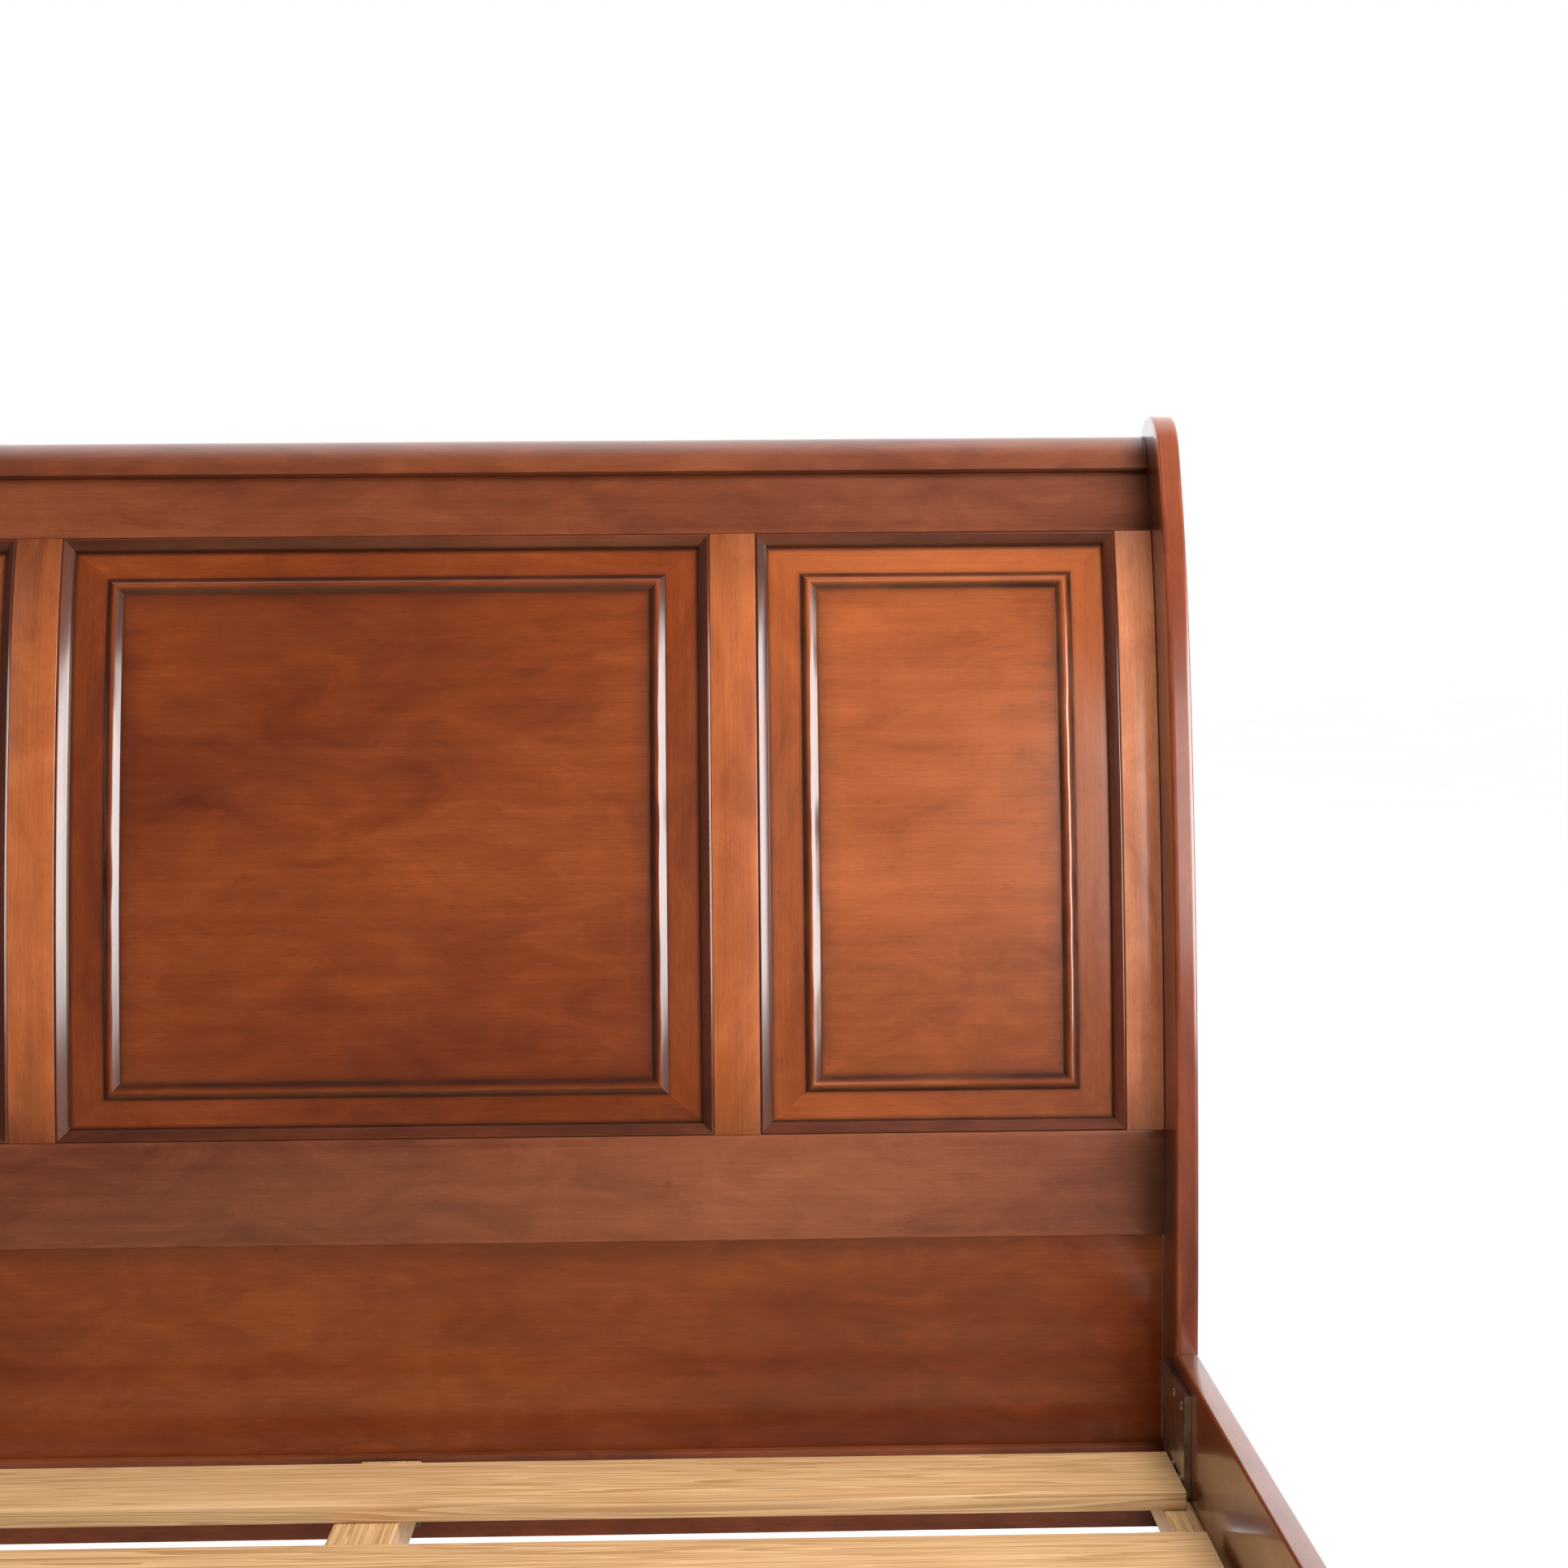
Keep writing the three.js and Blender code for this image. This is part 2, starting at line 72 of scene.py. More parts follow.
# A board's curve is straight for a while and then bends in two arcs of (radius, length). "lean" says which way.
# A post reaches "front" before the face and "back" behind it, or "root" beside the bottom rail, and ends in a
# scroll of that radius. Rails are spans of s, and "roll" is the crest roll's (half width, height, centre d).
HEAD = {
    "side": "head",
    "y": HEAD_Y,
    "lean": 1,
    "straight": 0.430,
    "arcs": ((3.610, 0.668), (0.940, 0.196)),
    "front": 0.060,
    "back": 0.042,
    "root": 0.050,
    "scroll": 0.058,
    "rails": {"bottom": (0.215, 0.300), "middle": (0.517, 0.6231), "top": (1.2314, 1.2965)},
    "roll": (0.028, 0.048, -0.020),
}
FOOT = {
    "side": "foot",
    "y": FOOT_Y,
    "lean": -1,
    "straight": 0.250,
    "arcs": ((1.500, 0.330), (0.450, 0.140)),
    "front": 0.052,
    "back": 0.044,
    "root": 0.060,
    "scroll": 0.050,
    "rails": {"bottom": (0.215, 0.315), "top": (0.610, 0.675)},
    "roll": (0.026, 0.038, -0.016),
}
FOOT_TAPER = ((0.0, 0.026), (0.060, 0.022), (0.120, 0.010), (0.200, 0.0))  # (s, how much the foot draws in)
ROOT_RISE = 0.350  # the length over which a post narrows above the bottom rail


# ---- the face curve of a board ----
def along(board, s):
    """[y, z, lean angle] at arc length s."""
    y = board["y"]
    z = min(s, board["straight"])
    angle = 0.0
    left = s - z
    for radius, length in board["arcs"]:
        step = max(0.0, min(left, length))
        after = angle + step / radius
        y += board["lean"] * radius * (math.cos(angle) - math.cos(after))
        z += radius * (math.sin(after) - math.sin(angle))
        angle = after
        left -= step
    y += board["lean"] * math.sin(angle) * max(0.0, left)
    z += math.cos(angle) * max(0.0, left)
    return y, z, angle


def place(board, s, d):
    """(y, z) at arc length s, at distance d out of the show face."""
    y, z, angle = along(board, s)
    return y - d * math.cos(angle), z + board["lean"] * d * math.sin(angle)


def levels(s0, s1, step=0.018):
    """Arc lengths from s0 to s1, evenly divided."""
    count = max(1, math.ceil((s1 - s0) / step))
    return [s0 + (s1 - s0) * k / count for k in range(count + 1)]


# ---- meshes ----
def make_piece(name, points, faces, marks, material, along_x=True, sharp=32.0):
    """A smooth-shaded piece in place of the CAD node with its name.

    marks holds, for each point, (x, s, d, relief): where it is on its board, and how deep in a recess (below 0)
    or how proud on an edge (above 0) it is; the relief also carries painted shade, which lowers it, and on the
    crest roll painted light. along_x says whether the grain runs along x or along s; it can be a
    list with one answer for each face.
    """
    mesh = bpy.data.meshes.new(name)
    mesh.from_pydata(points, [], faces)
    shift = random.Random(name).uniform(0.0, 40.0)
    grain = mesh.attributes.new("grain", "FLOAT_VECTOR", "CORNER")
    relief = mesh.attributes.new("relief", "FLOAT", "POINT")
    for poly in mesh.polygons:
        flat = along_x if isinstance(along_x, bool) else along_x[poly.index]
        for corner in poly.loop_indices:
            x, s, d, _ = marks[mesh.loops[corner].vertex_index]
            run, across = (x, s) if flat else (s, x)
            grain.data[corner].vector = (run + shift, across + shift * 0.37, d + shift * 0.11)
    relief.data.foreach_set("value", [m[3] for m in marks])
    mesh.materials.append(material)
    tidy_mesh(mesh)
    mesh.shade_smooth()
    mesh.set_sharp_from_angle(angle=math.radians(sharp))
    piece = bpy.data.objects.new(f"{name}_finished", mesh)
    bpy.context.scene.collection.objects.link(piece)
    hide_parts(name)
    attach(piece, "root")


def tidy_mesh(mesh):
    """Merges the points that fall together and turns every face outwards."""
    work = bmesh.new()
    work.from_mesh(mesh)
    bmesh.ops.remove_doubles(work, verts=work.verts, dist=1e-6)
    bmesh.ops.dissolve_degenerate(work, edges=work.edges, dist=1e-7)
    bmesh.ops.recalc_face_normals(work, faces=work.faces)
    work.to_mesh(mesh)
    work.free()


def loft(rows):
    """Faces between rows that each hold the same number of points, with a face at each end."""
    count = len(rows[0])
    faces = []
    for r in range(len(rows) - 1):
        for i in range(count):
            a = r * count + i
            b = r * count + (i + 1) % count
            faces.append((a, b, b + count, a + count))
    faces.append(tuple(range(count))[::-1])
    faces.append(tuple((len(rows) - 1) * count + i for i in range(count)))
    return faces


def rounded(outline, radius, steps=3):
    """The outline with rounded corners, each point with its relief: positive where a corner stands proud."""
    turn = sum(a[0] * b[1] - b[0] * a[1] for a, b in zip(outline, outline[1:] + outline[:1]))
    found = []
    for i, corner in enumerate(outline):
        before = Vector(outline[i - 1])
        after = Vector(outline[(i + 1) % len(outline)])
        here = Vector(corner)
        one, two = before - here, after - here
        reach = min(radius, one.length * 0.45, two.length * 0.45)
        start = here + one.normalized() * reach
        end = here + two.normalized() * reach
        cross = one.x * two.y - one.y * two.x
        proud = 0.5 if cross * turn < 0 else -0.5
        for k in range(steps + 1):
            t = k / steps
            point = start * (1 - t) ** 2 + here * 2 * t * (1 - t) + end * t**2
            found.append((point.x, point.y, proud))
    return found


def split_edges(outline, longest):
    """The outline with its long edges divided."""
    found = []
    for i, (u, v, relief) in enumerate(outline):
        p, q, _ = outline[(i + 1) % len(outline)]
        count = max(1, math.ceil(math.hypot(p - u, q - v) / longest))
        for k in range(count):
            t = k / count
            found.append((u + (p - u) * t, v + (q - v) * t, relief if k == 0 else 0.0))
    return found


def groove(edge, into):
    """The corners of a panel groove on an edge at `edge`, cut towards `into`, from the show face back."""
    bottom = edge + into * GROOVE
    front = PANEL_FRONT + GAP
    back = PANEL_BACK - GAP
    return [(edge, front), (bottom, front), (bottom, back), (edge, back)]


def rail(board, name, span, low_groove, high_groove, material):
    """A rail between the posts, with an [s, d] outline that follows the curve."""
    s0, s1 = span
    low = groove(s0, 1) if low_groove else []
    high = groove(s1, -1)[::-1] if high_groove else []
    corners = [(s0, 0.0), *low, (s0, -FRAME_T), (s1, -FRAME_T), *high, (s1, 0.0)]
    outline = split_edges(rounded(corners, EASED), 10 * MM)
    bar_piece(board, name, outline, material)


def bar_stations():
    """Stations along a bar from post to post, each with how much painted shade darkens it there, beside the
    posts.
    """
    # painted shade beside a post: darkest at the post, gone 60 mm from it
    beside_post = ((0.0, 0.8), (0.012, 0.5), (0.03, 0.15), (0.06, 0.0))
    ends = [(INNER - GAP - inward, painted_shade) for inward, painted_shade in beside_post]
    plain = ends[-1][0]
    middle = [(x, 0.0) for x in levels(-plain, plain, 0.2)]
    return [(-x, painted_shade) for x, painted_shade in ends[:-1]] + middle + ends[-2::-1]


def shaded_relief(relief, painted_shade):
    """The relief of a place darkened by painted shade: the shade also hides the rubbed edges."""
    return relief * max(0.0, 1 - 2 * painted_shade) - painted_shade


def bar_piece(board, name, outline, material):
    """A bar along x between the posts with an [s, d, relief] outline."""
    points, marks, rows = [], [], []
    for x, painted_shade in bar_stations():
        row = []
        for s, d, relief in outline:
            row.append(len(points))
            points.append((x, *place(board, s, d)))
            marks.append((x, s, d, shaded_relief(relief, painted_shade)))
        rows.append(row)
    make_piece(name, points, loft(rows), marks, material)


def crest_roll(board, material):
    """The rounded roll on top of the top rail."""
    wide, high, centre = board["roll"]
    base = board["rails"]["top"][1] + GAP
    outline = []
    steps = 48
    for k in range(steps + 1):
        turn = math.pi * k / steps
        # painted light: the roll's lower front and back edges are painted lighter and its top darker; its two
        # base edges get painted shade where they meet the rail
        relief = -0.25 if k in (0, steps) else 0.45 * math.cos(2 * turn) - 0.1
        outline.append((base + high * math.sin(turn), centre + wide * math.cos(turn), relief))
    y, z, angle = along(board, base)
    points, marks, rows = [], [], []
    for x, painted_shade in bar_stations():
        row = []
        for s, d, relief in outline:
            up = s - base
            row.append(len(points))
            points.append((
                x,
                y + board["lean"] * up * math.sin(angle) - d * math.cos(angle),
                z + up * math.cos(angle) + board["lean"] * d * math.sin(angle),
            ))
            marks.append((x, s, d, shaded_relief(relief, painted_shade)))
        rows.append(row)
    make_piece(f"{board['side']}_crest_roll", points, loft(rows), marks, material)


def upright(board, name, x0, x1, s0, s1, grooved, material):
    """A stile or muntin, swept up the curve, with painted shade darkening it towards the joints at its ends, so
    that its middle reads lighter, as if lit.
    """
    left = groove(x0, 1) if "left" in grooved else []
    right = groove(x1, -1)[::-1] if "right" in grooved else []
    corners = [(x0, 0.0), *left, (x0, -FRAME_T), (x1, -FRAME_T), *right, (x1, 0.0)]
    outline = split_edges(rounded(corners, EASED), 24 * MM)
    points, marks, rows = [], [], []
    for s in levels(s0 + GAP, s1 - GAP, 0.012):
        row = []
        # painted shade, darkest at both ends and nothing at the middle
        painted_shade = 0.5 * (1 - math.sin(math.pi * (s - s0) / (s1 - s0))) ** 1.4
        for x, d, relief in outline:
            row.append(len(points))
            points.append((x, *place(board, s, d)))
            marks.append((x, s, d, shaded_relief(relief, painted_shade)))
        rows.append(row)
    make_piece(name, points, loft(rows), marks, material, along_x=False)


def scroll_centre(board):
    """The arc length at the middle of the scroll, where the curve ends."""
    return board["straight"] + board["arcs"][0][1] + board["arcs"][1][1]


def post_edges(board, s):
    """d of the post's front and of its back at arc length s."""
    end = scroll_centre(board)
    radius = board["scroll"]
    middle = board["front"] - radius
    half = math.sqrt(max(0.0, radius**2 - (s - end) ** 2))
    if s >= end:
        return middle + half, middle - half
    inset = 0.0
    for (z0, d0), (z1, d1) in zip(FOOT_TAPER, FOOT_TAPER[1:]):
        if z0 <= s <= z1:
            t = (s - z0) / (z1 - z0)
            inset = d0 + (d1 - d0) * t
    front = board["front"] - inset
    if s < RAIL_LOW:
        return front, inset * 0.6 - board["root"]
    neck = board["back"] + (board["root"] - board["back"]) * max(0.0, 1 - (s - RAIL_LOW) / ROOT_RISE)
    back = -neck
    if s > end - radius:
        back = min(back, middle - half)
    return front, back


def post(board, name, sign, material):
    """A curved post board with a rounded scroll at its top, swept as a rounded section."""
    end = scroll_centre(board)
    radius = board["scroll"]
    stops = levels(0.0, end - radius, 0.012)
    stops += [end + radius * math.sin(math.radians(a)) for a in range(-88, 89, 4)]
    stops.append(end + radius * 0.9999)
    points, marks, rows = [], [], []
    soft = 3.2 * MM
    for s in stops:
        front, back = post_edges(board, s)
        edge = min(soft, (front - back) * 0.49)
        row = []
        for x, d, relief in post_section(back, front, edge):
            row.append(len(points))
            points.append((sign * x, *place(board, s, d)))
            marks.append((sign * x, s, d, relief))
        rows.append(row)
    make_piece(name, points, loft(rows), marks, material, along_x=False, sharp=40)


def post_section(back, front, edge):
    """A rounded rectangle of (x, d, relief), with its sides divided."""
    corners = [
        (OUTER - edge, front - edge, 0),
        (INNER + edge, front - edge, 90),
        (INNER + edge, back + edge, 180),
        (OUTER - edge, back + edge, 270),
    ]
    found = []
    for i, (cx, cd, start) in enumerate(corners):
        for k in range(5):
            turn = math.radians(start + 22.5 * k)
            found.append((cx + edge * math.cos(turn), cd + edge * math.sin(turn), 0.7))
        nx, nd, _ = corners[(i + 1) % 4]
        turn = math.radians(start + 90)
        a = (cx + edge * math.cos(turn), cd + edge * math.sin(turn))
        b = (nx + edge * math.cos(turn), nd + edge * math.sin(turn))
        for k in range(1, 7):
            t = k / 7
            d = a[1] + (b[1] - a[1]) * t
            # painted shade on the post's inner face, where it stands beside the rails and stiles
            shaded_inner = i == 1 and d < 0.9 * front  # the inner face, beside the rails and stiles
            found.append((a[0] + (b[0] - a[0]) * t, d, -0.55 if shaded_inner else 0.0))
    return found


# ---- panels and mouldings: mitred loops ----
def looped(board, name, area, profile, closed, material, banding):
    """A piece made of rectangular loops; each profile entry is (inset in x, inset in s, d, relief).

    A closed profile makes a frame, and an open one a board with a front and a back. Within the first `banding`
    loops the grain follows the loop, and inside them it runs along x.
    """
    x0, x1, s0, s1 = area
    stops = levels(s0, s1, 0.010)[1:-1]
    n = len(stops)
    points, marks = [], []
    sway = hand_worked(name)
    for ux, us, d, relief in profile:
        raised = 0.0 if closed else max(0.0, d - PANEL_FRONT)

        def mark(x, s):
            s = min(max(s, s0 + us), s1 - us)
            lean, lift = sway(s if x > (x0 + x1) / 2 else s + 3.0)
            x += raised * 0.12 * lean
            rise = d + raised * 0.07 * lift
            points.append((x, *place(board, s, rise)))
            marks.append((x, s, d, relief))

        mark(x0 + ux, s0 + us)
        mark(x1 - ux, s0 + us)
        for s in stops:
            mark(x1 - ux, s)
        mark(x1 - ux, s1 - us)
        mark(x0 + ux, s1 - us)
        for s in reversed(stops):
            mark(x0 + ux, s)
    count = 2 * n + 4
    faces, flat = [], []
    for r in range(len(profile) if closed else len(profile) - 1):
        up = ((r + 1) % len(profile)) * count
        for i in range(count):
            j = (i + 1) % count
            faces.append((r * count + i, r * count + j, up + j, up + i))
            flat.append(r >= banding or i in (0, n + 2))
    if not closed:
        left = [0] + [2 * n + 3 - k for k in range(n)] + [n + 3]
        right = [1] + [2 + k for k in range(n)] + [n + 2]
        last = (len(profile) - 1) * count
        for k in range(n + 1):
            a, b, c, d = left[k], right[k], right[k + 1], left[k + 1]
            faces.append((d, c, b, a))
            faces.append((last + a, last + b, last + c, last + d))
            flat += [True, True]
    grain_dirs = drop_flat_faces(points, faces, flat)
    make_piece(name, points, faces, marks, material, along_x=grain_dirs, sharp=20)


def hand_worked(name):
    """The slight unevenness of a sanded bead: two numbers from about -1 to 1 for each place along it."""
    chance = random.Random(f"{name} bead")
    waves = []
    for _ in range(8):
        waves.append((chance.uniform(0.05, 0.30), chance.uniform(0, 6.3), chance.uniform(0.2, 0.45)))

    def at(s):
        found = [part * math.sin(2 * math.pi * s / length + phase) for length, phase, part in waves]
        return sum(found[:4]), sum(found[4:])

    return at


def drop_flat_faces(points, faces, flat):
    """Leaves out, in place, faces with fewer than three distinct corners; returns the grain of the others."""
    kept, dirs = [], []
    for face, along_x in zip(faces, flat):
        corners = []
        for index in face:
            if not corners or math.dist(points[index], points[corners[-1]]) > 1e-7:
                corners.append(index)
        if len(corners) > 1 and math.dist(points[corners[0]], points[corners[-1]]) <= 1e-7:
            corners.pop()
        if len(corners) > 2:
            kept.append(tuple(corners))
            dirs.append(along_x)
    faces[:] = kept
    return dirs


def panel(board, name, x0, x1, s0, s1, material):
    """A bent panel with its raised bead."""
    area = (x0 - TONGUE, x1 + TONGUE, s0 - TONGUE, s1 + TONGUE)
    bx, bs = BORDER_X + TONGUE, BORDER_S + TONGUE
    seat = TONGUE + MOULDING_W
    profile = [(0.0, 0.0, PANEL_BACK, 0.0), (0.0, 0.0, PANEL_FRONT, 0.0)]
    # the panel is darkened where it runs under the moulding's foot: dark glazing with painted shade in that
    # crease
    for wide, relief in ((-1.0 * MM, -1.0), (1.4 * MM, -0.5), (4.5 * MM, 0.0)):
        profile.append((seat + wide, seat + wide, PANEL_FRONT, relief))
    for part in (0.72, 0.9):
        profile.append((part * bx, part * bs, PANEL_FRONT, 0.0))
    profile.append((bx - 1.6 * MM, bs - 1.6 * MM, PANEL_FRONT, -0.2))
    soft = 0.25  # how round the bead's top is
    for k in range(17):
        u = k / 16
        side = abs(2 * u - 1)
        rise = 1 - (math.hypot(side, soft) - soft) / (math.hypot(1, soft) - soft)
        # the bead's crown is rubbed lighter; its flanks are darkened towards their foot by dark glazing with
        # painted shade
        relief = 0.4 - 3.2 * side + 2.0 * side**2
        profile.append((bx + u * BEAD, bs + u * BEAD, PANEL_FRONT + rise * BEAD_H, relief))
    banding = len(profile)
    ex, es = bx + BEAD, bs + BEAD
    # inside the bead the field is darkened for 26 mm: dark glazing with painted shade in the recess
    for wide, relief in ((1.5 * MM, -0.55), (5 * MM, -0.30), (12 * MM, -0.16), (26 * MM, 0.0)):
        profile.append((ex + wide, es + wide, PANEL_FRONT, relief))
    looped(board, name, area, profile, False, material, banding)


def moulding(board, name, x0, x1, s0, s1, material):
    """The mitred moulding that drops from the frame's face to the panel; its profile is in millimetres."""
    foot = (PANEL_FRONT + GAP) / MM
    area = (x0 + GAP, x1 - GAP, s0 + GAP, s1 - GAP)
    # the relief darkens the moulding in the crease against the frame and towards its foot on the panel (dark
    # glazing with painted shade) and lightens its crown (rubbed)
    profile = [(0.0, foot, 0.0), (0.0, -0.8, -0.4), (0.5, -0.5, -0.1), (0.8, 0.0, 0.1)]
    profile += [(1.3, 0.35, 0.4), (1.9, 0.45, 0.4), (2.5, 0.25, 0.3)]
    for k in range(9):
        t = k / 8
        profile.append((3.0 + 7.0 * t, -0.1 - 4.9 * (0.82 * t + 0.18 * t * t), 0.1 - 0.3 * t))
    profile += [(10.6, -5.6, -0.5), (11.1, -6.8, -0.7), (11.6, -8.0, -0.9), (12.0, -8.9, -1.0)]
    profile.append((12.0, foot, -1.0))
    profile = [(u * MM, u * MM, d * MM, relief) for u, d, relief in profile]
    looped(board, name, area, profile, True, material, len(profile))


# ---- materials ----
def sockets(node, **values):
    """Sets a node's input sockets; an underscore in a name stands for a space."""
    for name, value in values.items():
        node.inputs[name.replace("_", " ")].default_value = value
    return node


class Shader:
    """A node material under construction."""

    def __init__(self, name):
        self.material = bpy.data.materials.new(name)
        self.material.use_nodes = True
        self.tree = self.material.node_tree
        self.tree.nodes.clear()
        self.out = self.tree.nodes.new("ShaderNodeOutputMaterial")
        self.bsdf = self.tree.nodes.new("ShaderNodeBsdfPrincipled")
        self.link(self.bsdf.outputs["BSDF"], self.out.inputs["Surface"])

    def node(self, kind, **settings):
        made = self.tree.nodes.new(kind)
        for name, value in settings.items():
            setattr(made, name, value)
        return made

    def link(self, source, target):
        self.tree.links.new(source, target)

    def attribute(self, name):
        return self.node("ShaderNodeAttribute", attribute_name=name)

    def scaled(self, vector, along, across, depth=None):
        mapping = self.node("ShaderNodeMapping")
        mapping.inputs["Scale"].default_value = (along, across, across if depth is None else depth)
        self.link(vector, mapping.inputs["Vector"])
        return mapping.outputs["Vector"]

    def noise(self, vector, detail=3.0, rough=0.5, bend=0.0):
        made = self.node("ShaderNodeTexNoise", noise_dimensions="3D")
        sockets(made, Scale=1.0, Detail=detail, Roughness=rough, Distortion=bend)
        self.link(vector, made.inputs["Vector"])
        return made.outputs["Fac"]

    def spread(self, value, low, high, to_low=0.0, to_high=1.0, smooth=False):
        made = self.node("ShaderNodeMapRange")
        if smooth:
            made.interpolation_type = "SMOOTHSTEP"
        sockets(made, From_Min=low, From_Max=high, To_Min=to_low, To_Max=to_high)
        self.link(value, made.inputs["Value"])
        return made.outputs["Result"]

    def mix(self, factor, first, second):
        made = self.node("ShaderNodeMix", data_type="RGBA", blend_type="MIX")
        for source, index in ((first, 6), (second, 7)):
            if isinstance(source, tuple):
                made.inputs[index].default_value = (*source, 1.0)
            else:
                self.link(source, made.inputs[index])
        if isinstance(factor, float):
            made.inputs[0].default_value = factor
        else:
            self.link(factor, made.inputs[0])
        return made.outputs[2]

    def maths(self, operation, first, second):
        made = self.node("ShaderNodeMath", operation=operation)
        for source, index in ((first, 0), (second, 1)):
            if isinstance(source, float):
                made.inputs[index].default_value = source
            else:
                self.link(source, made.inputs[index])
        return made.outputs[0]

    def bump(self, height, strength, distance, below=None):
        made = self.node("ShaderNodeBump")
        sockets(made, Strength=strength, Distance=distance)
        self.link(height, made.inputs["Height"])
        if below is not None:
            self.link(below, made.inputs["Normal"])
        return made.outputs["Normal"]


def linear(red, green, blue):
    """A display colour, 0 to 255, as scene-linear values."""
    def channel(value):
        value /= 255
        return value / 12.92 if value <= 0.04045 else ((value + 0.055) / 1.055) ** 2.4

    return tuple(channel(v) for v in (red, green, blue))


def mahogany(name, dark, middle, light, gloss=0.40):
    """Reddish-brown tinted wood under lacquer, with its grain along the first axis of the grain attribute."""
    m = Shader(name)
    at = m.attribute("grain").outputs["Vector"]
    relief = m.attribute("relief").outputs["Fac"]
    # broad changes of tone, then the mottled figure that crosses the grain
    broad = m.noise(m.scaled(at, 2.0, 4.5), detail=2.0, rough=0.45)
    figure = m.noise(m.scaled(at, 10.0, 21.0), detail=5.0, rough=0.6, bend=1.1)
    ribbon = m.noise(m.scaled(at, 2.2, 62.0), detail=3.0, rough=0.5, bend=0.4)
    # fine lines and short dark pores
    lines = m.noise(m.scaled(at, 9.0, 520.0), detail=3.0, rough=0.6)
    pores = m.noise(m.scaled(at, 95.0, 1500.0), detail=2.0, rough=0.5)
    tone = m.maths("ADD", m.maths("MULTIPLY", broad, 0.50), m.maths("MULTIPLY", figure, 0.36))
    tone = m.maths("ADD", tone, m.maths("MULTIPLY", ribbon, 0.14))
    shade = m.spread(tone, 0.32, 0.68)
    lower = m.mix(m.spread(shade, 0.0, 0.5), dark, middle)
    colour = m.mix(m.spread(shade, 0.5, 1.0), lower, light)
    colour = m.mix(m.spread(lines, 0.35, 0.60, 0.16, 0.0), colour, tuple(c * 0.45 for c in dark))
    colour = m.mix(m.spread(pores, 0.30, 0.40, 0.35, 0.0), colour, tuple(c * 0.35 for c in dark))
    # darker where the relief is below 0: dark glazing in the recesses, together with painted shade in the
    # creases, beside the posts, towards the ends of the uprights, on the posts' inner faces and over the crest
    # roll's top; lighter where it is above 0: edges rubbed a little lighter, and painted light on the crest
    # roll's lower edges
    patchy = m.noise(m.scaled(at, 20.0, 60.0), detail=2.0)
    glaze_and_painted_shade = m.maths("MULTIPLY", m.spread(relief, -0.9, -0.03, 1.0, 0.0), m.spread(patchy, 0.2, 0.7, 0.7, 1.0))
    colour = m.mix(glaze_and_painted_shade, colour, linear(44, 18, 9))
    rub_and_painted_light = m.maths("MULTIPLY", m.spread(relief, 0.15, 0.8, 0.0, 0.4, True), m.spread(patchy, 0.35, 0.7))
    colour = m.mix(rub_and_painted_light, colour, tuple(min(1.0, c * 1.45) for c in light))
    m.link(colour, m.bsdf.inputs["Base Color"])
    uneven = m.noise(m.scaled(at, 6.0, 14.0), detail=3.0)
    m.link(m.spread(uneven, 0.3, 0.7, gloss - 0.05, gloss + 0.09), m.bsdf.inputs["Roughness"])
    grain = m.bump(lines, 0.12, 0.0003)
    wave = m.bump(m.noise(m.scaled(at, 5.0, 12.0), detail=1.0), 0.10, 0.02, grain)
    m.link(wave, m.bsdf.inputs["Normal"])
    m.link(m.bump(m.noise(m.scaled(at, 4.0, 9.0), detail=1.0), 0.05, 0.02), m.bsdf.inputs["Coat Normal"])
    sockets(m.bsdf, Coat_Weight=0.9, Coat_Roughness=0.16, Coat_IOR=1.6, IOR=1.45, Specular_IOR_Level=0.2)
    return m.material


def plain_wood(name, dark, light):
    """Pale planed softwood with soft growth rings."""
    m = Shader(name)
    at = m.attribute("grain").outputs["Vector"]
    rings = m.noise(m.scaled(at, 1.1, 55.0, 55.0), detail=2.0, bend=1.2)
    bands = m.spread(m.maths("FRACT", m.maths("MULTIPLY", rings, 9.0), 0.0), 0.15, 0.95, smooth=True)
    lines = m.noise(m.scaled(at, 12.0, 700.0), detail=3.0, rough=0.6)
    colour = m.mix(bands, light, dark)
    colour = m.mix(m.spread(lines, 0.35, 0.6, 0.35, 0.0), colour, tuple(c * 0.6 for c in dark))
    blotch = m.noise(m.scaled(at, 2.0, 6.0), detail=2.0)
    colour = m.mix(m.spread(blotch, 0.35, 0.7, 0.0, 0.35), colour, tuple(c * 0.86 for c in light))
    m.link(colour, m.bsdf.inputs["Base Color"])
    m.link(m.spread(lines, 0.3, 0.7, 0.62, 0.50), m.bsdf.inputs["Roughness"])
    m.link(m.bump(lines, 0.25, 0.0003), m.bsdf.inputs["Normal"])
    return m.material


def plated_steel(name):
    """Zinc-plated pressed steel with fine drawing marks."""
    m = Shader(name)
    at = m.node("ShaderNodeTexCoord").outputs["Object"]
    drawn = m.noise(m.scaled(at, 900.0, 900.0, 40.0), detail=3.0)
    cloud = m.noise(m.scaled(at, 60.0, 60.0), detail=3.0)
    colour = m.mix(m.spread(cloud, 0.3, 0.7), linear(150, 152, 155), linear(186, 188, 189))
    m.link(colour, m.bsdf.inputs["Base Color"])
    m.link(m.spread(drawn, 0.3, 0.7, 0.26, 0.42), m.bsdf.inputs["Roughness"])
    m.link(m.bump(drawn, 0.15, 0.0002), m.bsdf.inputs["Normal"])
    sockets(m.bsdf, Metallic=1.0)
    return m.material


